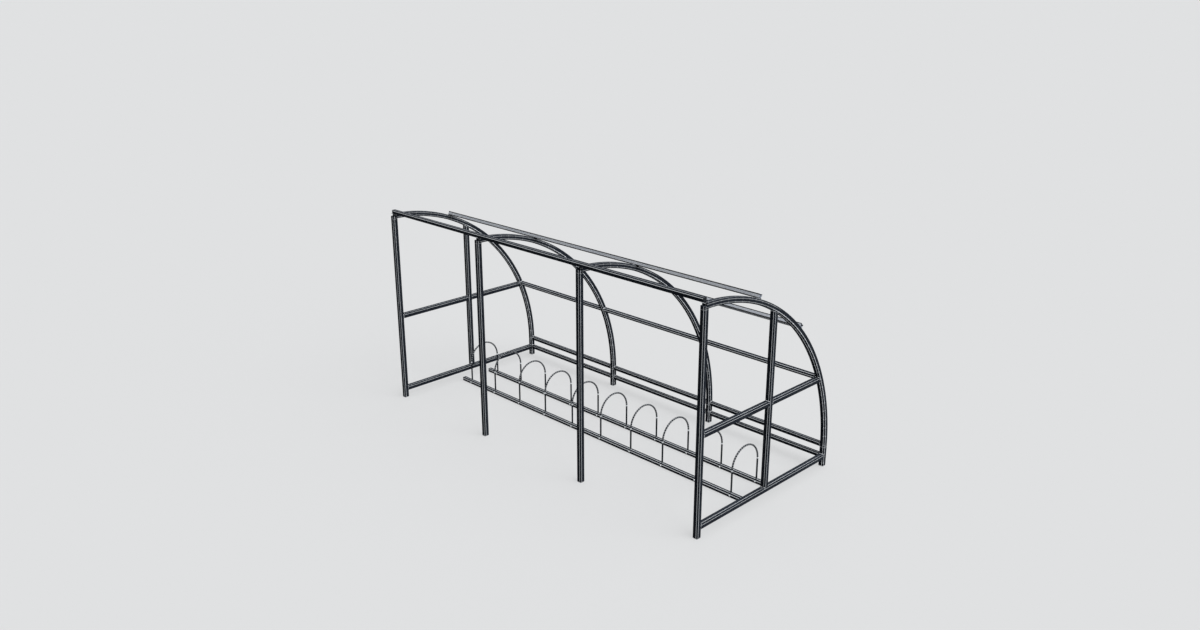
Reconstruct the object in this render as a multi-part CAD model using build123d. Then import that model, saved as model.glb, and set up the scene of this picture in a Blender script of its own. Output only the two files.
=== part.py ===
"""Open steel frame of a bike shelter, with a free-standing row of wheel hoops inside it.

Four equal frames stand in a row along X. Each has a straight front post and an arch that rises
from the ground at the back and bends forward over the post's head. An eaves beam, two purlins and
rails at the back tie the frames together, and the two end frames carry side rails and a mid post.

Millimetres, +Z up, +X along the row, -Y at the open front. The origin is on the ground, midway
between the end frames and midway between the front posts and the arches' feet.
"""

import os
from math import asin, cos, radians, sin, sqrt

from build123d import *

# ---- Driving dimensions ----------------------------------------------------------------------

# Row of frames
frame_count = 4
frame_pitch = 1340.0  # axis to axis along X
frame_depth = 1785.0  # front post axis to arch foot axis along Y

# Square tube of the frames: posts, arches and everything in the two end frames
frame_tube = 50.0
frame_wall = 4.0
frame_corner = 9.0  # outside corner radius

# Square tube of the ties between the frames and of the rack's rails
tie_tube = 40.0
tie_wall = 3.0
tie_corner = 6.0
purlin_corner = 2.0  # the purlins are a sharper section of the same size

# Arch
arch_stub = 190.0  # straight length from the ground up to the bend
arch_lead_in = 10.0  # straight length at the front end, behind the post's axis

# Purlins
purlin_angles = {"crown": 22.0, "rear": 45.0}  # degrees from straight up, about the arch's centre

# Rails, by the height of their centre lines
back_low_rail_height = 98.0
back_upper_rail_height = 207.0
back_mid_rail_height = 912.0
end_bottom_rail_height = 96.0
end_mid_rail_height = 901.0

# Rack of wheel hoops
rack_end_gap = 55.0  # from the rack's ends to the end frames
rack_offset = 10.0  # rack centre line behind the frames' mid depth
hoop_count = 10
hoop_end_margin = 140.0  # from a rail's end to the first hoop
hoop_bar = 16.0  # diameter of the round bar
hoop_radius = 180.0  # centre line of the bend
hoop_leg_top = 248.0  # height at which the legs turn into the bend

# Clearances
cope_gap = 0.3  # between an arch's round faces and what is cut to them or lies on them
hoop_hole_gap = 0.3  # all round a hoop's leg in the rail's top wall

# ---- Worked out ------------------------------------------------------------------------------

row_span = frame_pitch * (frame_count - 1)
frame_xs = [frame_pitch * i - row_span / 2 for i in range(frame_count)]
post_y = -frame_depth / 2
foot_y = frame_depth / 2

arch_radius = frame_depth - arch_lead_in
arch_centre_y = post_y + arch_lead_in
arch_top_height = arch_stub + arch_radius  # centre line of the arch over the post
arch_inside = arch_radius - frame_tube / 2
arch_outside = arch_radius + frame_tube / 2
beam_seat_height = arch_top_height + frame_tube / 2

rack_length = row_span - frame_tube - 2 * rack_end_gap
rack_y = rack_offset
hoop_pitch = (rack_length - 2 * hoop_end_margin) / (hoop_count - 1)
hoop_xs = [hoop_pitch * i + hoop_end_margin - rack_length / 2 for i in range(hoop_count)]


# ---- Shapes ----------------------------------------------------------------------------------


def straight_tube(plane, length, size, wall, corner):
    """An open-ended square tube that starts on a plane and runs along its normal."""
    outside = extrude(plane * RectangleRounded(size, size, corner), length)
    inside = size - 2 * wall
    return outside - extrude(plane * Rectangle(inside, inside), length)


def tube_along_x(x_start, x_end, y, z, across=(0, 1, 0), corner=tie_corner):
    """A tie's tube along X. Two of its sides face along the direction across."""
    plane = Plane(origin=(x_start, y, z), x_dir=across, z_dir=(1, 0, 0))
    return straight_tube(plane, x_end - x_start, tie_tube, tie_wall, corner)


def tube_along_y(x, y_start, y_end, z):
    plane = Plane(origin=(x, y_start, z), x_dir=(1, 0, 0), z_dir=(0, 1, 0))
    return straight_tube(plane, y_end - y_start, frame_tube, frame_wall, frame_corner)


def tube_along_z(x, y, z_start, z_end):
    plane = Plane.XY.offset(z_start) * Pos(x, y)
    return straight_tube(plane, z_end - z_start, frame_tube, frame_wall, frame_corner)


def under_the_arch(x):
    """The space inside an arch's bend, which the coped ends are cut to."""
    plane = Plane.YZ.offset(x) * Pos(arch_centre_y, arch_stub)
    return extrude(plane * Circle(arch_inside - cope_gap), frame_tube, both=True)


def arch_depth_at(height):
    """Y of the arch's centre line at a height on its bend."""
    return arch_centre_y + sqrt(arch_radius**2 - (height - arch_stub) ** 2)


def arch_outward_at(height):
    """Direction straight out of the arch at a height on its bend."""
    turn = asin((height - arch_stub) / arch_radius)
    return (0, cos(turn), sin(turn))


# ---- Frames ----------------------------------------------------------------------------------


def front_post(x):
    """A post with a stepped, closed head: the arch lies on the back half and ends on the front half."""
    inside = frame_tube - 2 * frame_wall
    plane = Plane.XY * Pos(x, post_y)
    outside = extrude(plane * RectangleRounded(frame_tube, frame_tube, frame_corner), arch_top_height)
    step_height = arch_top_height - frame_tube / 2 - cope_gap
    step = Pos(x, post_y, step_height) * Box(
        2 * frame_tube, frame_tube, frame_tube, align=(Align.CENTER, Align.MIN, Align.MIN)
    )
    cavity = extrude(plane * Rectangle(inside, inside), step_height - frame_wall)
    head_depth = frame_tube / 2 - 2 * frame_wall
    head_plane = Plane.XY * Pos(x, post_y - frame_wall)
    head_shape = Rectangle(inside, head_depth, align=(Align.CENTER, Align.MAX))
    head_cavity = extrude(head_plane * head_shape, arch_top_height - frame_wall)
    return outside - step - cavity - head_cavity


def arch(x):
    """A tube that stands at the back, bends over a quarter circle and ends closed on the post."""

    def centre_line(front_end_y):
        stub = Line((foot_y, 0), (foot_y, arch_stub))
        bend = CenterArc((arch_centre_y, arch_stub), arch_radius, 0, 90)
        lead_in = Line((arch_centre_y, arch_top_height), (front_end_y, arch_top_height))
        return Plane.YZ.offset(x) * (stub + bend + lead_in)

    inside = frame_tube - 2 * frame_wall
    foot = Plane.XY * Pos(x, foot_y)
    outside = sweep(foot * RectangleRounded(frame_tube, frame_tube, frame_corner), centre_line(post_y))
    cavity = sweep(foot * Rectangle(inside, inside), centre_line(post_y + frame_wall))
    return outside - cavity


def end_frame(x, side):
    """Rails and mid post of an end frame, by node name."""
    half = frame_tube / 2
    post_back = post_y + half
    arch_space = under_the_arch(x)
    bottom_top = end_bottom_rail_height + half
    return {
        f"end_bottom_rail_{side}": tube_along_y(x, post_back, foot_y - half, end_bottom_rail_height),
        f"end_mid_post_{side}": tube_along_z(x, 0, bottom_top, arch_top_height) & arch_space,
        f"end_mid_rail_front_{side}": tube_along_y(x, post_back, -half, end_mid_rail_height),
        f"end_mid_rail_back_{side}": tube_along_y(x, half, foot_y, end_mid_rail_height) & arch_space,
    }


# ---- Ties between the frames -----------------------------------------------------------------


def eaves_beam():
    """A tube on the post heads, from end frame axis to end frame axis."""
    return tube_along_x(-row_span / 2, row_span / 2, post_y, beam_seat_height + tie_tube / 2)


def purlin(angle):
    """A tube that lies square on the arches' outside, from end frame axis to end frame axis."""
    lean = radians(angle)
    centre_radius = arch_outside + cope_gap + tie_tube / 2
    y = arch_centre_y + centre_radius * sin(lean)
    z = arch_stub + centre_radius * cos(lean)
    across = (0, cos(lean), -sin(lean))
    return tube_along_x(-row_span / 2, row_span / 2, y, z, across, purlin_corner)


def back_rail(bay, y, z, across=(0, 1, 0)):
    """A rail between the side faces of two neighbouring arches."""
    half = frame_tube / 2
    return tube_along_x(frame_xs[bay] + half, frame_xs[bay + 1] - half, y, z, across)


# ---- Rack ------------------------------------------------------------------------------------


def rack_rail(y):
    """A rail on the ground, with a hole in its top wall for a leg of each hoop."""
    rail = tube_along_x(-rack_length / 2, rack_length / 2, y, tie_tube / 2)
    hole = Cylinder(hoop_bar / 2 + hoop_hole_gap, 2 * tie_wall)
    return rail - [Pos(x, y, tie_tube) * hole for x in hoop_xs]


def hoop(x):
    """A round bar bent into an upturned U, standing on the bottom walls of the two rails."""
    leg_front = Line((-hoop_radius, tie_wall), (-hoop_radius, hoop_leg_top))
    bend = CenterArc((0, hoop_leg_top), hoop_radius, 180, -180)
    leg_back = Line((hoop_radius, hoop_leg_top), (hoop_radius, tie_wall))
    centre_line = Plane.YZ.offset(x) * Pos(rack_y, 0) * (leg_front + bend + leg_back)
    foot = Plane.XY.offset(tie_wall) * Pos(x, rack_y - hoop_radius)
    return sweep(foot * Circle(hoop_bar / 2), centre_line)


# ---- Assembly --------------------------------------------------------------------------------


def all_parts():
    parts = {"eaves_beam": eaves_beam()}
    for number, x in enumerate(frame_xs, start=1):
        parts[f"front_post_{number}"] = front_post(x)
        parts[f"arch_{number}"] = arch(x)
    parts.update(end_frame(frame_xs[0], "left"))
    parts.update(end_frame(frame_xs[-1], "right"))
    for name, angle in purlin_angles.items():
        parts[f"purlin_{name}"] = purlin(angle)
    mid_y = arch_depth_at(back_mid_rail_height)
    mid_across = arch_outward_at(back_mid_rail_height)  # the mid rails are turned to lie flush
    for bay in range(frame_count - 1):
        number = bay + 1
        parts[f"back_rail_low_{number}"] = back_rail(bay, foot_y, back_low_rail_height)
        parts[f"back_rail_upper_{number}"] = back_rail(bay, foot_y, back_upper_rail_height)
        parts[f"back_rail_mid_{number}"] = back_rail(bay, mid_y, back_mid_rail_height, mid_across)
    parts["rack_rail_front"] = rack_rail(rack_y - hoop_radius)
    parts["rack_rail_back"] = rack_rail(rack_y + hoop_radius)
    for number, x in enumerate(hoop_xs, start=1):
        parts[f"hoop_{number}"] = hoop(x)
    return parts


os.makedirs("parts", exist_ok=True)
for node, shape in all_parts().items():
    export_step(shape, f"parts/{node}.step")
    print(node, round(shape.volume / 1000, 1), "cm3")
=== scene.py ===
"""Looks of the bike shelter: the coats on its tubes, weld beads, end plugs and the rack's screws.

Metres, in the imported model's frame: +Z up, +X along the row, -Y at the open front. The origin is on
the ground in the middle of the shelter.
"""

from math import asin, cos, pi, radians, sin, sqrt

import bpy
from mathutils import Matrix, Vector


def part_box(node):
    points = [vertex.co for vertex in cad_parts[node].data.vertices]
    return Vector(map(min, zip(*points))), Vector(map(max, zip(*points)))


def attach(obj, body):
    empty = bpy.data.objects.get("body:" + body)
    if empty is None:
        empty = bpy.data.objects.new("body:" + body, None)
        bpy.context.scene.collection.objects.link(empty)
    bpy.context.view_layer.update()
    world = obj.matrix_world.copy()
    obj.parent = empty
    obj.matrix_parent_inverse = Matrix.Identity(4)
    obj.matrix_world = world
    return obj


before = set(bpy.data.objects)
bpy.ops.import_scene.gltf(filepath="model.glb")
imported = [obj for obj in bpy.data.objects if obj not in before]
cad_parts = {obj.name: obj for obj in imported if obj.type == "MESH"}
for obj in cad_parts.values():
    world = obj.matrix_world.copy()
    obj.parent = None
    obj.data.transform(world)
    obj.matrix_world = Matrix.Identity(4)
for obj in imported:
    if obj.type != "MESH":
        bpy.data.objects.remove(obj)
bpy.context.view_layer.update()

MM = 0.001

# ---- Sizes that the CAD nodes' boxes don't give -------------------------------------------------

TIE_CORNER = 6 * MM  # outside corner radius of the 40 mm ties and rails
TIE_WALL = 3 * MM
ARCH_LEAD_IN = 10 * MM  # straight length of an arch's front end
PURLIN_LEANS = {"crown": radians(22), "rear": radians(45)}
HOOP_LEG_TOP = 248 * MM  # where a hoop's legs turn into its bend
SEAT_GAP = 0.3 * MM  # between the arches' round faces and what lies on them

# ---- Places worked out from the CAD nodes -------------------------------------------------------

post_low, post_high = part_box("front_post_4")
arch_low, arch_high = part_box("arch_4")
TUBE = arch_high.x - arch_low.x
HALF = TUBE / 2
POST_Y = (post_low.y + post_high.y) / 2
FOOT_Y = arch_high.y - HALF
ARCH_RADIUS = FOOT_Y - POST_Y - ARCH_LEAD_IN
ARCH_CENTRE_Y = POST_Y + ARCH_LEAD_IN
ARCH_STUB = arch_high.z - HALF - ARCH_RADIUS
ARCH_INSIDE = ARCH_RADIUS - HALF
ARCH_OUTSIDE = ARCH_RADIUS + HALF


def middle(node):
    low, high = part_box(node)
    return (low + high) / 2


def nodes_named(start):
    return sorted(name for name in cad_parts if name.startswith(start))


FRAME_XS = [middle(name).x for name in nodes_named("front_post")]
tie_low, tie_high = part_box("back_rail_low_1")
TIE_HALF = (tie_high.z - tie_low.z) / 2
# the back's mid rails are turned by this about their length, to lie flush with the arches
MID_RAIL_TURN = asin((middle("back_rail_mid_1").z - ARCH_STUB) / ARCH_RADIUS)

# ---- Colours and node building ------------------------------------------------------------------


def linear(colour):
    """A colour written as sRGB hex, in the linear values that shaders take."""
    channels = [int(colour[i : i + 2], 16) / 255 for i in (1, 3, 5)]
    return tuple(c / 12.92 if c <= 0.04045 else ((c + 0.055) / 1.055) ** 2.4 for c in channels) + (1.0,)


def add(tree, kind, inputs=None, out=0, **settings):
    """Adds a node, makes its settings, fills or links its inputs, and returns one output."""
    node = tree.nodes.new(kind)
    for name, value in settings.items():
        setattr(node, name, value)
    for key, value in (inputs or {}).items():
        if isinstance(value, bpy.types.NodeSocket):
            tree.links.new(value, node.inputs[key])
        else:
            node.inputs[key].default_value = value
    return node.outputs[out] if node.outputs else None


def new_material(name):
    material = bpy.data.materials.new(name)
    material.use_nodes = True
    material.node_tree.nodes.clear()
    return material, material.node_tree


def finish_material(tree, shader_inputs):
    shader = add(tree, "ShaderNodeBsdfPrincipled", shader_inputs)
    add(tree, "ShaderNodeOutputMaterial", {"Surface": shader})


# ---- Patterns that the finishes share -----------------------------------------------------------

FRONT, RIGHT, UP = (0.0, -1.0, 0.0), (1.0, 0.0, 0.0), (0.0, 0.0, 1.0)
FADE = 0.4 * MM  # soft edge of the fine lines
FAR = 10.0  # farther than any distance on the shelter


def grain(tree, size, detail=2.0):
    """Noise from 0 to 1 whose grains are about that size."""
    place = add(tree, "ShaderNodeTexCoord", out="Object")
    return add(tree, "ShaderNodeTexNoise", {"Vector": place, "Scale": 1 / size, "Detail": detail})


def coordinate(tree, axis):
    place = add(tree, "ShaderNodeTexCoord", out="Object")
    return add(tree, "ShaderNodeSeparateXYZ", {0: place}, axis)


def off_centres(tree, along, centres):
    """Distance of a coordinate from the nearest of some centre lines."""
    nearest = FAR
    for centre in centres:
        offset = add(tree, "ShaderNodeMath", {0: along, 1: centre}, operation="SUBTRACT")
        away = add(tree, "ShaderNodeMath", {0: offset}, operation="ABSOLUTE")
        nearest = add(tree, "ShaderNodeMath", {0: away, 1: nearest}, operation="MINIMUM")
    return nearest


def out_of_arch(tree):
    """How far outside the arches' centre line a place is, foot and front end included."""
    place = add(tree, "ShaderNodeTexCoord", out="Object")
    centre = (0.0, ARCH_CENTRE_Y, ARCH_STUB)
    offset = add(tree, "ShaderNodeVectorMath", {0: place, 1: centre}, operation="SUBTRACT")
    turned = add(tree, "ShaderNodeVectorMath", {0: offset, 1: (0.0, 0.0, 0.0)}, operation="MAXIMUM")
    in_plane = add(tree, "ShaderNodeVectorMath", {0: turned, 1: (0.0, 1.0, 1.0)}, operation="MULTIPLY")
    radius = add(tree, "ShaderNodeVectorMath", {0: in_plane}, "Value", operation="LENGTH")
    return add(tree, "ShaderNodeMath", {0: radius, 1: ARCH_RADIUS}, operation="SUBTRACT")


def off_middle_line(tree, centre, direction, shift):
    """Distance from the plane that lies that far off a centre in a direction."""
    place = add(tree, "ShaderNodeTexCoord", out="Object")
    offset = add(tree, "ShaderNodeVectorMath", {0: place, 1: tuple(centre)}, operation="SUBTRACT")
    reach = add(tree, "ShaderNodeVectorMath", {0: offset, 1: direction}, "Value", operation="DOT_PRODUCT")
    return off_centres(tree, reach, [shift])


def waves_round(tree, centre_y, centre_z, radius, pitch):
    """Even waves from -1 to 1 along a bend about an axis that runs with the row."""
    depth = add(tree, "ShaderNodeMath", {0: coordinate(tree, "Y"), 1: centre_y}, operation="SUBTRACT")
    rise = add(tree, "ShaderNodeMath", {0: coordinate(tree, "Z"), 1: centre_z}, operation="SUBTRACT")
    angle = add(tree, "ShaderNodeMath", {0: rise, 1: depth}, operation="ARCTAN2")
    phase = add(tree, "ShaderNodeMath", {0: angle, 1: 2 * pi * radius / pitch}, operation="MULTIPLY")
    return add(tree, "ShaderNodeMath", {0: phase}, operation="SINE")


def facing(tree, direction):
    """1 on faces that look in a direction, 0 on those turned away from it by over 41 degrees."""
    normal = add(tree, "ShaderNodeNewGeometry", out="Normal")
    towards = add(tree, "ShaderNodeVectorMath", {0: normal, 1: direction}, "Value", operation="DOT_PRODUCT")
    limits = {"Value": towards, 1: 0.75, 2: 0.85}
    return add(tree, "ShaderNodeMapRange", limits, interpolation_type="SMOOTHSTEP")


def band(tree, away, width):
    """1 where a distance is under half that width, 0 past it."""
    limits = {"Value": away, 1: width / 2 - FADE, 2: width / 2 + FADE, 3: 1.0, 4: 0.0}
    return add(tree, "ShaderNodeMapRange", limits, interpolation_type="SMOOTHSTEP")


def face_lines(tree, axis, places, direction, width):
    """1 along straight lines at some places along an axis, on the faces that look in a direction."""
    lines = band(tree, off_centres(tree, coordinate(tree, axis), places), width)
    return add(tree, "ShaderNodeMath", {0: lines, 1: facing(tree, direction)}, operation="MULTIPLY")


def dust_and_top_light(tree):
    """How far a pale film covers what faces up: under a tenth, in soft patches about 60 mm across. It is
    partly settled dust and partly painted light that makes the tops lighter.
    """
    # what faces up is lighter: partly dust, partly painted light
    normal = add(tree, "ShaderNodeNewGeometry", out="Normal")
    upward = add(tree, "ShaderNodeVectorMath", {0: normal, 1: UP}, "Value", operation="DOT_PRODUCT")
    limits = {"Value": upward, 1: 0.55, 2: 1.0}
    level = add(tree, "ShaderNodeMapRange", limits, interpolation_type="SMOOTHSTEP")
    limits = {"Value": grain(tree, 60 * MM), 1: 0.25, 2: 0.75, 3: 0.05, 4: 0.09}
    patches = add(tree, "ShaderNodeMapRange", limits)
    return add(tree, "ShaderNodeMath", {0: level, 1: patches}, operation="MULTIPLY")


# ---- Finishes -----------------------------------------------------------------------------------

ANTHRACITE = ("#23272E", "#292E36")
# dust colour, also used as painted light that lightens the tops
ANTHRACITE_DUST_AND_TOP_LIGHT = "#646C78"
# pale metallic paint for the painted highlights: lines, ticks, rings, dashes and specks
PAINTED_HIGHLIGHT = "#DDE0E3"
BESIDE_CORNER = 12.5 * MM  # from a 50 mm tube's middle to the painted highlight lines on its flats
IN_FRONT_OF_MIDDLE = 6 * MM  # from a 40 mm tube's middle to the painted highlight line on its top
TICK_PITCH = 90 * MM  # between the painted highlight ticks along an arch
HOOP_DASH_PITCH = 24 * MM  # between the painted highlight dashes round a hoop's bend
ARCH_TOP_FROM, ARCH_TOP_TO = 1.68, 1.78  # heights between which an arch's painted highlight lines change over


def laid_over(tree, colour, *layers):
    """Lays colours over one another: each layer is how much it covers, from 0 to 1, and its colour."""
    for cover, shade in layers:
        inputs = {"Factor": cover, 6: colour, 7: linear(shade)}
        colour = add(tree, "ShaderNodeMix", inputs, 2, data_type="RGBA")
    return colour


def clouds(tree):
    """Soft clouds about 140 mm across, from 0 to 1."""
    limits = {"Value": grain(tree, 140 * MM, 4.0), 1: 0.35, 2: 0.65}
    return add(tree, "ShaderNodeMapRange", limits, interpolation_type="SMOOTHSTEP")


def skin(tree, size, roughness, spread, depth):
    """A fine grain of that size: how dull the surface is, and its bumps."""
    fine = grain(tree, size, 1.0)
    limits = {"Value": fine, 1: 0.3, 2: 0.7, 3: roughness - spread, 4: roughness + spread}
    dull = add(tree, "ShaderNodeMapRange", limits, interpolation_type="SMOOTHSTEP")
    bump = add(tree, "ShaderNodeBump", {"Strength": 0.25, "Distance": depth, "Height": fine})
    return {"Roughness": dull, "Normal": bump}


def anthracite(tree, painted_highlights, roughness=0.55):
    """Anthracite powder coat: two close shades in soft clouds, a pale film on what faces up that is partly
    dust and partly painted top light, and a fine orange-peel skin. Each painted highlight is where pale
    metallic paint stands in for a highlight, and how strongly."""
    # painted highlights: the strongest one sets how much pale metallic paint shows
    painted_highlight_cover = 0.0
    for place, strength in painted_highlights:
        shine = add(tree, "ShaderNodeMath", {0: place, 1: strength}, operation="MULTIPLY")
        painted_highlight_cover = add(tree, "ShaderNodeMath", {0: shine, 1: painted_highlight_cover}, operation="MAXIMUM")
    colour = laid_over(
        tree,
        linear(ANTHRACITE[0]),
        (clouds(tree), ANTHRACITE[1]),
        (dust_and_top_light(tree), ANTHRACITE_DUST_AND_TOP_LIGHT),
        (painted_highlight_cover, PAINTED_HIGHLIGHT),
    )
    finish = {"Base Color": colour, "Metallic": painted_highlight_cover, "Specular IOR Level": 0.02}
    finish_material(tree, {**finish, **skin(tree, 4 * MM, roughness, 0.05, 0.15 * MM)})


def upright_coat():
    """Anthracite powder coat on the posts, sprayed and baked: near black and low in gloss, with two fine
    painted highlight lines beside the corner that faces front right and a fainter painted highlight ring
    by each end."""
    material, tree = new_material("anthracite_powder_coat_on_posts")
    # painted highlight lines beside the front-right corner; fainter painted highlight rings near each end
    on_front = face_lines(tree, "X", [x + BESIDE_CORNER for x in FRAME_XS], FRONT, 3 * MM)
    depths = [POST_Y - BESIDE_CORNER, middle("end_mid_post_right").y - BESIDE_CORNER]
    on_right = face_lines(tree, "Y", depths, RIGHT, 3 * MM)
    heights = [3 * MM, arch_high.z - TUBE - 3 * MM]
    ends = band(tree, off_centres(tree, coordinate(tree, "Z"), heights), 4 * MM)
    anthracite(tree, [(on_front, 1.0), (on_right, 1.0), (ends, 0.4)])
    return material


def arch_coat():
    """The same coat on the bent tubes, with painted highlight lines beside their inner right corner and
    along the right of their other faces. Near the top these fade to half strength, and a half-strength line
    beside the outer right corner joins them. Pale painted highlight ticks cross the lines at an even pitch
    along the bend. A painted highlight ring shows at the ground, and one where the bend starts."""
    material, tree = new_material("anthracite_powder_coat_on_arches")
    height = coordinate(tree, "Z")
    limits = {"Value": height, 1: ARCH_TOP_FROM, 2: ARCH_TOP_TO, 4: 0.5}
    near_top = add(tree, "ShaderNodeMapRange", limits, interpolation_type="SMOOTHSTEP")
    lower = add(tree, "ShaderNodeMath", {0: 1.0, 1: near_top}, operation="SUBTRACT")
    on_right = facing(tree, RIGHT)
    elsewhere = add(tree, "ShaderNodeMath", {0: 1.0, 1: on_right}, operation="SUBTRACT")
    outwards = out_of_arch(tree)
    # painted highlight lines, fading to half strength near the top
    lines = [
        (off_centres(tree, outwards, [-BESIDE_CORNER]), on_right, lower),
        (off_centres(tree, outwards, [BESIDE_CORNER]), on_right, near_top),
        (off_centres(tree, coordinate(tree, "X"), [x + BESIDE_CORNER for x in FRAME_XS]), elsewhere, lower),
    ]
    # painted highlight ticks at an even pitch along the bend
    dash_waves = waves_round(tree, ARCH_CENTRE_Y, ARCH_STUB, ARCH_RADIUS, TICK_PITCH)
    limits = {"Value": dash_waves, 1: 0.93, 2: 0.99}
    tick_places = add(tree, "ShaderNodeMapRange", limits, interpolation_type="SMOOTHSTEP")
    painted_highlights = []
    for away, faces, stretch in lines:
        shown = add(tree, "ShaderNodeMath", {0: faces, 1: stretch}, operation="MULTIPLY")
        line = add(tree, "ShaderNodeMath", {0: band(tree, away, 4 * MM), 1: shown}, operation="MULTIPLY")
        tick = add(tree, "ShaderNodeMath", {0: band(tree, away, 10 * MM), 1: shown}, operation="MULTIPLY")
        painted_tick = add(tree, "ShaderNodeMath", {0: tick, 1: tick_places}, operation="MULTIPLY")
        painted_highlights += [(line, 1.0), (painted_tick, 0.9)]
    # painted highlight rings at the ground and where the bend starts
    foot = band(tree, off_centres(tree, height, [3 * MM, ARCH_STUB]), 4 * MM)
    anthracite(tree, [*painted_highlights, (foot, 0.6)])
    return material


def end_rail_coat(tubes):
    """The same coat on the end frames' rails, with painted highlight lines beside their upper right corners.
    """
    material, tree = new_material("anthracite_powder_coat_on_end_rails")
    # painted highlight lines beside the upper right corners
    on_top = face_lines(tree, "X", [x + BESIDE_CORNER for x in FRAME_XS], UP, 3.5 * MM)
    heights = {round(middle(tube).z + BESIDE_CORNER, 4) for tube in tubes}
    on_right = face_lines(tree, "Z", heights, RIGHT, 3 * MM)
    anthracite(tree, [(on_top, 1.0), (on_right, 1.0)])
    return material


def row_tube_coat(name, tubes, above, width, highlight_strength):
    """The same coat on the lighter tubes that run along the row, with two painted highlight lines of one
    width. The front side's line lies that far above the tube's middle. The one on top lies just in front
    of the middle and is only as strong as given."""
    material, tree = new_material(name)
    depths = {round(middle(tube).y - IN_FRONT_OF_MIDDLE, 4) for tube in tubes}
    heights = {round(middle(tube).z + above, 4) for tube in tubes}
    # painted highlight lines on the top and the front
    on_top = face_lines(tree, "Y", depths, UP, width)
    on_front = face_lines(tree, "Z", heights, FRONT, width)
    anthracite(tree, [(on_top, highlight_strength), (on_front, 1.0)])
    return material


def mid_rail_coat():
    """The same coat on the back's mid rails, which are turned to lie flush with the arches: with painted
    highlight lines beside the corner that faces the front."""
    material, tree = new_material("anthracite_powder_coat_on_mid_rails")
    centre = (0.0, *middle("back_rail_mid_1").yz)
    outward = (0.0, cos(MID_RAIL_TURN), sin(MID_RAIL_TURN))
    upward = (0.0, -sin(MID_RAIL_TURN), cos(MID_RAIL_TURN))
    inward = tuple(-part for part in outward)
    painted_highlights = []
    # painted highlight lines beside the corner that faces the front
    for along, shift, faces, highlight_strength in ((outward, -5 * MM, upward, 0.6), (upward, 7 * MM, inward, 1.0)):
        line = band(tree, off_middle_line(tree, centre, along, shift), 6 * MM)
        shown = add(tree, "ShaderNodeMath", {0: line, 1: facing(tree, faces)}, operation="MULTIPLY")
        painted_highlights.append((shown, highlight_strength))
    anthracite(tree, painted_highlights)
    return material


# one light grey coat in two lit and shaded copies: the rear's darker copy is painted shade
PURLIN_LIT_AND_SHADED = {"crown": ("#E6ECF6", "#EDF2F9"), "rear": ("#C2C8D1", "#CACFD8")}


def purlin_coat(key):
    """Light grey powder coat, satin, with painted shade in dark strips along both long edges. The rear
    purlin's copy of the coat is darker, which is painted shade too."""
    lean = PURLIN_LEANS[key]
    material, tree = new_material(f"light_grey_powder_coat_{key}")
    centre = middle(f"purlin_{key}")
    nearer = FAR
    for direction in ((0.0, sin(lean), cos(lean)), (0.0, cos(lean), -sin(lean))):
        away = off_middle_line(tree, centre, direction, 0.0)
        nearer = add(tree, "ShaderNodeMath", {0: away, 1: nearer}, operation="MINIMUM")
    # painted shade: dark strips along both long edges
    limits = {"Value": nearer, 1: 10.5 * MM, 2: 11.5 * MM}
    painted_edge_shade = add(tree, "ShaderNodeMapRange", limits, interpolation_type="SMOOTHSTEP")
    lit_or_shaded = PURLIN_LIT_AND_SHADED[key]
    colour = laid_over(tree, linear(lit_or_shaded[0]), (clouds(tree), lit_or_shaded[1]), (painted_edge_shade, "#111417"))
    finish = {"Base Color": colour, "Specular IOR Level": 0.3}
    finish_material(tree, {**finish, **skin(tree, 4 * MM, 0.47, 0.05, 0.15 * MM)})
    return material


def hoop_coat():
    """Anthracite coat on cold-bent round bar, with painted highlights: a pale strip down the front of the
    legs, pale dashes along the bend, and a pale ring round each leg where the bend starts."""
    material, tree = new_material("anthracite_powder_coat_on_round_bar")
    centre = middle("hoop_1")
    radius = centre.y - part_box("hoop_1")[0].y
    height = coordinate(tree, "Z")
    limits = {"Value": height, 1: HOOP_LEG_TOP - 2 * MM, 2: HOOP_LEG_TOP + 2 * MM}
    bent = add(tree, "ShaderNodeMapRange", limits, interpolation_type="SMOOTHSTEP")
    straight = add(tree, "ShaderNodeMath", {0: 1.0, 1: bent}, operation="SUBTRACT")
    # painted highlight dashes along the bend
    waves = waves_round(tree, centre.y, HOOP_LEG_TOP, radius, HOOP_DASH_PITCH)
    limits = {"Value": waves, 1: -0.6, 2: 0.6}
    dash_waves = add(tree, "ShaderNodeMapRange", limits, interpolation_type="SMOOTHSTEP")
    dashes = add(tree, "ShaderNodeMath", {0: dash_waves, 1: bent}, operation="MULTIPLY")
    # painted highlight strip down the front of the legs
    front_left = facing(tree, (-0.35, -0.94, 0.0))
    painted_leg_highlight = add(tree, "ShaderNodeMath", {0: front_left, 1: straight}, operation="MULTIPLY")
    # painted highlight ring where the bend starts
    ring = band(tree, off_centres(tree, height, [HOOP_LEG_TOP]), 14 * MM)
    anthracite(tree, [(dashes, 0.35), (painted_leg_highlight, 0.2), (ring, 1.0)])
    return material


def weld_coat():
    """Weld beads under the same coat, with painted highlight specks scattered in a noise pattern."""
    material, tree = new_material("powder_coated_weld_beads")
    # painted highlight specks in a noise pattern
    limits = {"Value": grain(tree, 7 * MM), 1: 0.42, 2: 0.5}
    painted_specks = add(tree, "ShaderNodeMapRange", limits, interpolation_type="SMOOTHSTEP")
    anthracite(tree, [(painted_specks, 1.0)], roughness=0.45)
    return material


def plug_plastic():
    """Moulded black polyethylene: dark, a little waxy, with a fine spark-eroded grain."""
    material, tree = new_material("moulded_black_polyethylene")
    colour = laid_over(tree, linear("#14171B"), (grain(tree, 25 * MM), "#1D2126"))
    finish = {"Base Color": colour, "Specular IOR Level": 0.15}
    finish_material(tree, {**finish, **skin(tree, 1.5 * MM, 0.56, 0.06, 0.05 * MM)})
    return material


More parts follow.
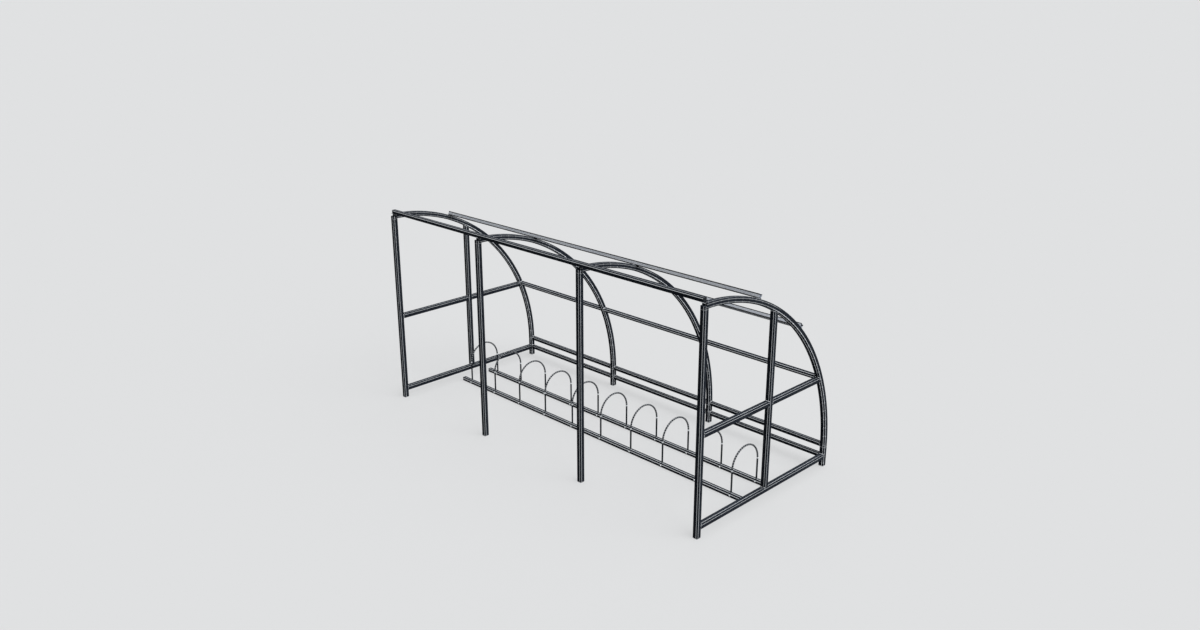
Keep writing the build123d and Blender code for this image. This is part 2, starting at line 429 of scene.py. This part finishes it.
def screw_zinc():
    """Zinc-plated steel: bright, slightly blue and cloudy metal that stands out as a small glint."""
    material, tree = new_material("zinc_plated_steel")
    spangle = grain(tree, 4 * MM, 3.0)
    colour = laid_over(tree, linear("#D5D9DD"), (spangle, "#F1F3F4"))
    limits = {"Value": spangle, 1: 0.3, 2: 0.7, 3: 0.22, 4: 0.38}
    dull = add(tree, "ShaderNodeMapRange", limits, interpolation_type="SMOOTHSTEP")
    finish_material(tree, {"Base Color": colour, "Metallic": 1.0, "Roughness": dull})
    return material


def coat_the_tubes():
    end_rails = [name for name in nodes_named("end_") if "rail" in name]
    ties = ["eaves_beam", *nodes_named("back_rail_low"), *nodes_named("back_rail_upper")]
    rack_rails = nodes_named("rack_rail")
    finishes = [
        (nodes_named("front_post") + nodes_named("end_mid_post"), upright_coat()),
        (nodes_named("arch"), arch_coat()),
        (end_rails, end_rail_coat(end_rails)),
        (ties, row_tube_coat("anthracite_powder_coat_on_ties", ties, 11 * MM, 4 * MM, 0.6)),
        (rack_rails, row_tube_coat("anthracite_powder_coat_on_rack_rails", rack_rails, 7 * MM, 6 * MM, 1.0)),
        (nodes_named("back_rail_mid"), mid_rail_coat()),
        (nodes_named("hoop"), hoop_coat()),
        (["purlin_crown"], purlin_coat("crown")),
        (["purlin_rear"], purlin_coat("rear")),
    ]
    for names, material in finishes:
        for name in names:
            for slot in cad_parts[name].material_slots:
                slot.material = material


# ---- Geometry Nodes -----------------------------------------------------------------------------


def new_tree(name, sockets):
    """An empty Geometry Nodes tree with a Geometry input and output, and its named inputs."""
    tree = bpy.data.node_groups.new(name, "GeometryNodeTree")
    tree.interface.new_socket("Geometry", in_out="INPUT", socket_type="NodeSocketGeometry")
    for socket, kind in sockets.items():
        tree.interface.new_socket(socket, in_out="INPUT", socket_type=kind)
    tree.interface.new_socket("Geometry", in_out="OUTPUT", socket_type="NodeSocketGeometry")
    group = tree.nodes.new("NodeGroupInput")
    return tree, group.outputs


def end_tree(tree, geometry, material):
    """Realizes what the tree made, shades it smooth, paints it and hands it out."""
    solid = add(tree, "GeometryNodeRealizeInstances", {"Geometry": geometry})
    smooth = add(tree, "GeometryNodeSetShadeSmooth", {"Geometry": solid})
    painted = add(tree, "GeometryNodeSetMaterial", {"Geometry": smooth, "Material": material})
    add(tree, "NodeGroupOutput", {"Geometry": painted})


def bead_tree():
    """A weld bead along each path: a round section whose radius rises and falls with each ripple."""
    tree, given = new_tree(
        "weld_bead",
        {
            "Bead radius": "NodeSocketFloat",
            "Ripple pitch": "NodeSocketFloat",
            "Ripple depth": "NodeSocketFloat",
            "Seed": "NodeSocketInt",
            "Material": "NodeSocketMaterial",
        },
    )
    path = add(tree, "GeometryNodeMeshToCurve", {"Mesh": given["Geometry"]})
    step = add(tree, "ShaderNodeMath", {0: given["Ripple pitch"], 1: 3.0}, operation="DIVIDE")
    even = add(tree, "GeometryNodeResampleCurve", {"Curve": path, "Length": step}, mode="LENGTH")
    count = add(tree, "GeometryNodeInputIndex")
    third = add(tree, "ShaderNodeMath", {0: count, 1: 2 * pi / 3}, operation="MULTIPLY")
    wave = add(tree, "ShaderNodeMath", {0: third}, operation="SINE")
    uneven = add(
        tree,
        "FunctionNodeRandomValue",
        {2: -0.5, 3: 0.5, "Seed": given["Seed"]},
        1,
        data_type="FLOAT",
    )
    both = add(tree, "ShaderNodeMath", {0: wave, 1: uneven}, operation="ADD")
    swelling = {0: both, 1: given["Ripple depth"], 2: given["Bead radius"]}
    swell = add(tree, "ShaderNodeMath", swelling, operation="MULTIPLY_ADD")
    section = add(tree, "GeometryNodeCurvePrimitiveCircle", {"Resolution": 8, "Radius": 1.0}, mode="RADIUS")
    bead = add(
        tree,
        "GeometryNodeCurveToMesh",
        {"Curve": even, "Profile Curve": section, "Scale": swell, "Fill Caps": True},
    )
    end_tree(tree, bead, given["Material"])
    return tree


def fitting_tree():
    """A copy of one fitting at each point, facing the way that the point's facing says."""
    tree, given = new_tree(
        "fittings_on_tubes",
        {
            "Fitting": "NodeSocketObject",
            "Size": "NodeSocketFloat",
            "Loose turn": "NodeSocketFloat",
            "Seed": "NodeSocketInt",
            "Material": "NodeSocketMaterial",
        },
    )
    way = add(tree, "GeometryNodeInputNamedAttribute", {"Name": "facing"}, data_type="FLOAT_VECTOR")
    aimed = add(tree, "FunctionNodeAlignRotationToVector", {"Vector": way}, axis="Z", pivot_axis="AUTO")
    turn = add(
        tree,
        "FunctionNodeRandomValue",
        {2: 0.0, 3: given["Loose turn"], "Seed": given["Seed"]},
        1,
        data_type="FLOAT",
    )
    spun = add(tree, "FunctionNodeAxisAngleToRotation", {"Axis": (0.0, 0.0, 1.0), "Angle": turn})
    both = add(
        tree, "FunctionNodeRotateRotation", {"Rotation": aimed, "Rotate By": spun}, rotation_space="LOCAL"
    )
    fitting = add(
        tree, "GeometryNodeObjectInfo", {"Object": given["Fitting"], "As Instance": True}, "Geometry"
    )
    copies = add(
        tree,
        "GeometryNodeInstanceOnPoints",
        {"Points": given["Geometry"], "Instance": fitting, "Rotation": both, "Scale": given["Size"]},
    )
    end_tree(tree, copies, given["Material"])
    return tree


def grow(name, mesh, tree, values):
    """Runs a tree on a mesh and returns the result as a plain mesh object at the origin."""
    base = bpy.data.objects.new(f"{name}_base", mesh)
    bpy.context.scene.collection.objects.link(base)
    modifier = base.modifiers.new("make", "NODES")
    modifier.node_group = tree
    sockets = {item.name: item.identifier for item in tree.interface.items_tree if item.in_out == "INPUT"}
    for socket, value in values.items():
        modifier[sockets[socket]] = value
    bpy.context.view_layer.update()
    evaluated = base.evaluated_get(bpy.context.evaluated_depsgraph_get())
    result = bpy.data.meshes.new_from_object(evaluated)
    result.name = name
    base.modifiers.clear()
    bpy.data.objects.remove(base)
    piece = bpy.data.objects.new(name, result)
    bpy.context.scene.collection.objects.link(piece)
    return piece


def settle(piece):
    """The piece rides on the shelter."""
    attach(piece, "root")


# ---- Weld beads ---------------------------------------------------------------------------------

BEAD = 2.6 * MM  # radius of the beads round the ties
BUTT_BEAD = 3.4 * MM  # radius where two 50 mm tubes meet and their rounded corners leave a groove
HOOP_BEAD = 1.8 * MM
FLUSH_INSET = 21.0 * MM  # from the tube's axis, so that a bead fills the groove and ends flush


def rounded_loop(half_u, half_v, corner, per_side=8, per_corner=5):
    """Points round a rectangle with rounded corners, close enough together to be laid on a curve."""
    reach_u, reach_v = half_u - corner, half_v - corner
    points = []
    for quarter, (sign_u, sign_v) in enumerate(((1, 1), (-1, 1), (-1, -1), (1, -1))):
        for step in range(per_corner + 1):
            angle = pi / 2 * (quarter + step / per_corner)
            points.append((sign_u * reach_u + corner * cos(angle), sign_v * reach_v + corner * sin(angle)))
        next_u, next_v = ((-1, 1), (-1, -1), (1, -1), (1, 1))[quarter]
        start = points[-1]
        angle = pi / 2 * (quarter + 1)
        end = (next_u * reach_u + corner * cos(angle), next_v * reach_v + corner * sin(angle))
        for step in range(1, per_side):
            share = step / per_side
            points.append((start[0] + (end[0] - start[0]) * share, start[1] + (end[1] - start[1]) * share))
    return points


def arch_inside_height(y):
    """Height of the arches' inside face over a depth."""
    return ARCH_STUB + sqrt(ARCH_INSIDE**2 - (y - ARCH_CENTRE_Y) ** 2)


def arch_inside_depth(z):
    """Depth of the arches' inside face at a height."""
    return ARCH_CENTRE_Y + sqrt(ARCH_INSIDE**2 - (z - ARCH_STUB) ** 2)


def tie_paths():
    """A closed path round both ends of each rail at the back, against the arches' sides."""
    paths = []
    loop = rounded_loop(TIE_HALF, TIE_HALF, TIE_CORNER)
    for name in nodes_named("back_rail"):
        low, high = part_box(name)
        centre = (low + high) / 2
        turn = MID_RAIL_TURN if "mid" in name else 0.0
        for x in (low.x, high.x):
            path = []
            for u, v in loop:
                y, z = u * cos(turn) - v * sin(turn), u * sin(turn) + v * cos(turn)
                path.append((x, centre.y + y, centre.z + z))
            paths.append((path, True))
    return paths


def end_frame_paths():
    """Closed paths round the ends of the end frames' rails and mid posts."""
    proud = HALF + 0.4 * MM
    loop = rounded_loop(FLUSH_INSET, proud, 6 * MM)
    paths = []
    for side in ("left", "right"):
        for name in (f"end_bottom_rail_{side}", f"end_mid_rail_front_{side}"):
            low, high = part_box(name)
            centre = (low + high) / 2
            for y in (low.y, high.y):
                paths.append(([(centre.x + u, y, centre.z + v) for u, v in loop], True))
        low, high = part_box(f"end_mid_rail_back_{side}")
        centre = (low + high) / 2
        paths.append(([(centre.x + u, low.y, centre.z + v) for u, v in loop], True))
        on_arch = [(centre.x + u, arch_inside_depth(centre.z + v), centre.z + v) for u, v in loop]
        paths.append((on_arch, True))
        low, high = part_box(f"end_mid_post_{side}")
        centre = (low + high) / 2
        paths.append(([(centre.x + u, centre.y + v, low.z) for u, v in loop], True))
        under_arch = [(centre.x + u, centre.y + v, arch_inside_height(centre.y + v)) for u, v in loop]
        paths.append((under_arch, True))
    return paths


def head_paths():
    """Short straight paths across the arches and post heads: under the beam, behind the heads and
    along the purlins' lower edges."""
    beam_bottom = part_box("eaves_beam")[0].z
    rise = 1.2 * MM
    reach = HALF - 5 * MM
    paths = []
    for x in FRAME_XS:
        for side in (-1, 1):
            y = POST_Y + side * (TIE_HALF - rise)
            paths.append(([(x - reach, y, beam_bottom + rise), (x + reach, y, beam_bottom + rise)], False))
        step_y, step_z = POST_Y + HALF, arch_high.z - TUBE
        paths.append(([(x - reach, step_y, step_z), (x + reach, step_y, step_z)], False))
        for key, lean in PURLIN_LEANS.items():
            low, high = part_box(f"purlin_{key}")
            start, end = max(x - reach, low.x), min(x + reach, high.x)
            for side in (-1, 1):
                away = side * (TIE_HALF + 0.4 * MM)
                radius = ARCH_OUTSIDE + SEAT_GAP
                y = ARCH_CENTRE_Y + radius * sin(lean) + away * cos(lean)
                z = ARCH_STUB + radius * cos(lean) - away * sin(lean)
                paths.append(([(start, y, z), (end, y, z)], False))
    return paths


def hoop_paths():
    """A ring round each leg of each hoop, on top of the rack's rails."""
    rails = [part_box("rack_rail_front"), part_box("rack_rail_back")]
    low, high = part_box("hoop_1")
    bar = (high.x - low.x) / 2
    sides = 24
    paths = []
    for name in nodes_named("hoop"):
        x = middle(name).x
        for rail_low, rail_high in rails:
            y = (rail_low.y + rail_high.y) / 2
            ring = []
            for step in range(sides):
                angle = 2 * pi * step / sides
                radius = bar + 0.6 * MM
                ring.append((x + radius * cos(angle), y + radius * sin(angle), rail_high.z))
            paths.append((ring, True))
    return paths


def path_mesh(name, paths):
    points, edges = [], []
    for path, closed in paths:
        first = len(points)
        points += path
        edges += [(first + i, first + i + 1) for i in range(len(path) - 1)]
        if closed:
            edges.append((first + len(path) - 1, first))
    mesh = bpy.data.meshes.new(f"{name}_paths")
    mesh.from_pydata(points, edges, [])
    return mesh


def make_weld_beads():
    tree = bead_tree()
    material = weld_coat()
    runs = {
        "weld_beads_ties": (tie_paths(), BEAD, 3.2 * MM, "frame_steel"),
        "weld_beads_end_frames": (end_frame_paths(), BUTT_BEAD, 4 * MM, "frame_steel"),
        "weld_beads_heads": (head_paths(), BEAD, 3.2 * MM, "frame_steel"),
        "weld_beads_rack": (hoop_paths(), HOOP_BEAD, 2.4 * MM, "rack_steel"),
    }
    for number, (name, (paths, radius, pitch, slot)) in enumerate(runs.items()):
        values = {
            "Bead radius": radius,
            "Ripple pitch": pitch,
            "Ripple depth": 0.09 * radius,
            "Seed": number,
            "Material": material,
        }
        settle(grow(name, path_mesh(name, paths), tree, values))


# ---- Plugs and screws ---------------------------------------------------------------------------


def loft(name, rings):
    """A closed mesh through rings of as many points each, from the lowest to the highest."""
    count = len(rings[0])
    faces = [tuple(reversed(range(count)))]
    for level in range(len(rings) - 1):
        for i in range(count):
            j = (i + 1) % count
            below, above = level * count, (level + 1) * count
            faces.append((below + i, below + j, above + j, above + i))
    faces.append(tuple(range((len(rings) - 1) * count, len(rings) * count)))
    mesh = bpy.data.meshes.new(name)
    mesh.from_pydata([point for ring in rings for point in ring], [], faces)
    template = bpy.data.objects.new(name, mesh)
    bpy.context.scene.collection.objects.link(template)
    return template


def square_ring(half, corner, height):
    return [(u, v, height) for u, v in rounded_loop(half, half, corner, per_side=1, per_corner=6)]


def end_plug(name, half, corner, wall):
    """A plug for a square tube: a domed head that covers the tube's end, and a ribbed shank inside."""
    inside = half - wall - 0.3 * MM
    shank = inside - 1.2 * MM
    rings = [square_ring(shank - 1 * MM, 1 * MM, -18 * MM), square_ring(shank, 1.5 * MM, -16 * MM)]
    for rib in (-14 * MM, -10 * MM, -6 * MM):
        rings.append(square_ring(shank, 1.5 * MM, rib - 0.6 * MM))
        rings.append(square_ring(inside, 2 * MM, rib))
        rings.append(square_ring(shank, 1.5 * MM, rib + 0.6 * MM))
    edge = half - 0.2 * MM
    rings.append(square_ring(shank, 1.5 * MM, 0.0))
    rings.append(square_ring(edge, corner, 0.0))
    rings.append(square_ring(edge, corner, 1.2 * MM))
    rings.append(square_ring(edge - 0.4 * MM, corner, 1.9 * MM))
    rings.append(square_ring(edge - 1.4 * MM, max(corner - 1 * MM, 0.8 * MM), 2.5 * MM))
    rings.append(square_ring(edge - 6 * MM, max(corner - 2 * MM, 0.6 * MM), 2.8 * MM))
    return loft(name, rings)


def round_ring(radius, height, sides=24):
    angles = [2 * pi * i / sides for i in range(sides)]
    return [(radius * cos(angle), radius * sin(angle), height) for angle in angles]


def hexagon_ring(across, height, sides=24):
    """A hexagon with as many points as a round ring, so that the two can be joined."""
    ring = []
    for i in range(sides):
        angle = 2 * pi * i / sides
        from_flat = (angle + pi / 6) % (pi / 3) - pi / 6
        radius = across / 2 / cos(from_flat)
        ring.append((radius * cos(angle), radius * sin(angle), height))
    return ring


def button_screw():
    """An M8 button-head screw on a washer: a 14 mm dome with a 5 mm hexagon socket."""
    rings = [round_ring(8 * MM, 0.0), round_ring(8 * MM, 1.2 * MM), round_ring(7.7 * MM, 1.5 * MM)]
    rings.append(round_ring(7 * MM, 1.5 * MM))
    dome = 4.4 * MM
    for step in range(6):
        angle = radians(8 + 11 * step)
        rings.append(round_ring(7 * MM * cos(angle), 1.6 * MM + dome * sin(angle)))
    top = 1.6 * MM + dome * sin(radians(63))
    rings.append(hexagon_ring(5 * MM, top))
    rings.append(hexagon_ring(5 * MM, top - 2.4 * MM))
    return loft("button_screw", rings)


def facing_points(name, places):
    """A mesh of loose points, each with the direction that its fitting faces."""
    mesh = bpy.data.meshes.new(name)
    mesh.from_pydata([point for point, _ in places], [], [])
    ways = mesh.attributes.new("facing", "FLOAT_VECTOR", "POINT")
    for item, (_, direction) in zip(ways.data, places):
        item.vector = direction
    return mesh


def tube_ends(names):
    """The middle of both ends of tubes that run along the row."""
    places = []
    for name in names:
        low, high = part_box(name)
        centre = (low + high) / 2
        places.append(((low.x, centre.y, centre.z), (-1.0, 0.0, 0.0)))
        places.append(((high.x, centre.y, centre.z), (1.0, 0.0, 0.0)))
    return places


def screw_places():
    """On the front face of both rack rails, at the foot of each hoop's legs."""
    places = []
    for rail in ("rack_rail_front", "rack_rail_back"):
        low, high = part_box(rail)
        for name in nodes_named("hoop"):
            places.append(((middle(name).x, low.y, (low.z + high.z) / 2), (0.0, -1.0, 0.0)))
    return places


def make_fittings():
    tree = fitting_tree()
    plastic = plug_plastic()
    plug = end_plug("tie_plug", TIE_HALF, TIE_CORNER, TIE_WALL)
    screw = button_screw()
    common = {"Size": 1.0, "Loose turn": 0.0, "Seed": 0, "Material": plastic}
    runs = {
        "end_plugs_beam": (plug, tube_ends(["eaves_beam"]), common, "frame_steel"),
        "end_plugs_rack": (plug, tube_ends(nodes_named("rack_rail")), common, "rack_steel"),
    }
    screws = {"Size": 1.0, "Loose turn": pi / 3, "Seed": 7, "Material": screw_zinc()}
    runs["rack_screws"] = (screw, screw_places(), screws, "rack_steel")
    for name, (template, places, values, slot) in runs.items():
        mesh = facing_points(f"{name}_places", places)
        settle(grow(name, mesh, tree, {"Fitting": template, **values}))
    bpy.data.objects.remove(plug)
    bpy.data.objects.remove(screw)


# ---- Stage, light and camera --------------------------------------------------------------------

PALE = "#E0E1E2"


def seen_directly(tree):
    """1 for what the eye, a reflection or a clear surface looks at, 0 for light bounced about."""
    path = {}
    for name in ("Is Camera Ray", "Is Glossy Ray", "Is Transmission Ray"):
        path[name] = add(tree, "ShaderNodeLightPath", out=name)
    first = add(
        tree,
        "ShaderNodeMath",
        {0: path["Is Camera Ray"], 1: path["Is Glossy Ray"]},
        operation="MAXIMUM",
    )
    return add(tree, "ShaderNodeMath", {0: first, 1: path["Is Transmission Ray"]}, operation="MAXIMUM")


def make_floor():
    """Pale matt floor. Most of its paleness is its own, so that the shelter's shadow stays faint, and
    what it bounces onto the shelter is darker, so that undersides stay deep."""
    reach = 400.0
    mesh = bpy.data.meshes.new("floor")
    corners = [(-reach, -reach, 0.0), (reach, -reach, 0.0), (reach, reach, 0.0), (-reach, reach, 0.0)]
    mesh.from_pydata(corners, [], [(0, 1, 2, 3)])
    floor = bpy.data.objects.new("floor", mesh)
    bpy.context.scene.collection.objects.link(floor)
    material, tree = new_material("matt_floor_paint")
    lit = add(tree, "ShaderNodeBsdfDiffuse", {"Color": linear(PALE)})
    own = add(tree, "ShaderNodeEmission", {"Color": linear(PALE)})
    pale = add(tree, "ShaderNodeMixShader", {0: 0.7, 1: lit, 2: own})
    dim = add(tree, "ShaderNodeBsdfDiffuse", {"Color": linear("#4A4C4E")})
    shown = add(tree, "ShaderNodeMixShader", {0: seen_directly(tree), 1: dim, 2: pale})
    add(tree, "ShaderNodeOutputMaterial", {"Surface": shown})
    mesh.materials.append(material)


# Shares of the light that falls on a level surface. They add up to 1, at which a colour on a level
# surface renders as it is written.
SKY_SHARE = 0.12
KEY_SHARE = 0.38
TOP_SHARE = 0.5


def make_sun(name, share, direction, softness):
    """A wide, soft light from a direction, that gives a level surface that share of its light."""
    towards = Vector(direction).normalized()
    data = bpy.data.lights.new(name, "SUN")
    data.energy = share * pi / towards.z
    data.angle = radians(softness)
    lamp = bpy.data.objects.new(name, data)
    lamp.rotation_euler = towards.to_track_quat("Z", "Y").to_euler()
    bpy.context.scene.collection.objects.link(lamp)


def make_light():
    """A key light from the right-hand end, a softer one from overhead, and a pale surround."""
    make_sun("key", KEY_SHARE, (0.82, 0.12, 0.56), 60)
    make_sun("overhead", TOP_SHARE, (0.1, 0.25, 0.96), 80)
    world = bpy.data.worlds.new("surround")
    bpy.context.scene.world = world
    world.use_nodes = True
    tree = world.node_tree
    tree.nodes.clear()
    lit = (SKY_SHARE, SKY_SHARE, SKY_SHARE, 1.0)
    colour = add(
        tree,
        "ShaderNodeMix",
        {"Factor": seen_directly(tree), 6: lit, 7: linear(PALE)},
        2,
        data_type="RGBA",
    )
    background = add(tree, "ShaderNodeBackground", {"Color": colour})
    add(tree, "ShaderNodeOutputWorld", {"Surface": background})


def make_camera():
    """Looks across the open front from beyond the right-hand end, from above."""
    azimuth, elevation = radians(45.026), radians(18.948)
    data = bpy.data.cameras.new("camera")
    data.sensor_fit = "HORIZONTAL"
    data.sensor_width = 36.0
    data.lens = 30.879
    data.clip_end = 2000.0
    camera = bpy.data.objects.new("camera", data)
    camera.location = (6.5852, -6.5608, 4.3769)
    towards = Vector((-sin(azimuth) * cos(elevation), cos(azimuth) * cos(elevation), -sin(elevation)))
    camera.rotation_euler = towards.to_track_quat("-Z", "Y").to_euler()
    bpy.context.scene.collection.objects.link(camera)
    bpy.context.scene.camera = camera


# ---- Everything ---------------------------------------------------------------------------------

bpy.context.scene.view_settings.view_transform = "Standard"
make_camera()
make_light()
make_floor()
coat_the_tubes()
make_weld_beads()
make_fittings()
